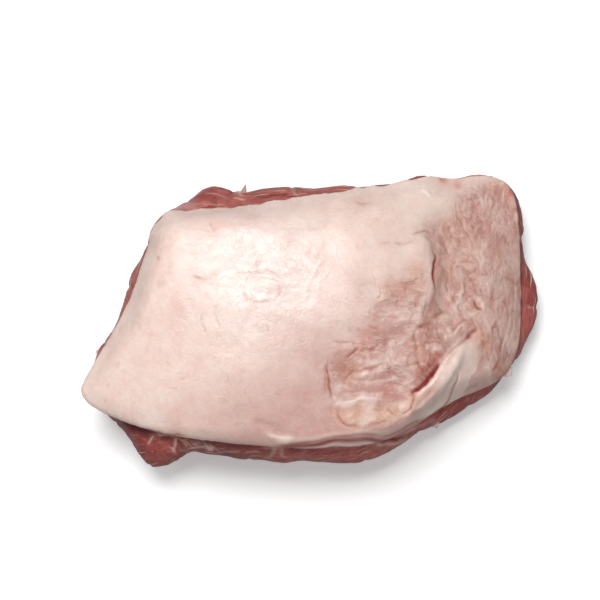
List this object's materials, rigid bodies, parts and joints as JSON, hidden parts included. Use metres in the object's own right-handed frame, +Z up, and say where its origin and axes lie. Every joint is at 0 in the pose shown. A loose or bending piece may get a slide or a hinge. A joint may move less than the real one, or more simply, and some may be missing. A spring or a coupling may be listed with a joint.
{
  "type": "bone-in pork sirloin roast",
  "caption": "Raw bone-in pork sirloin roast lying fat side up: a block of lean under a thick pale fat cap that slopes down to a thin wrinkled flank.",
  "frame": {"origin": "on the resting plane, under the middle of the roast's box", "axes": "+X along the roast towards the thin wrinkled flank, +Y towards the back, +Z up through the fat cap"},
  "size_m": [0.2596, 0.169, 0.0777],
  "materials": {
    "lean": null,
    "fat": null
  },
  "bodies": {
    "root": {"lean_meat": "lean", "fat_cap": "fat"}
  },
  "joints": []
}
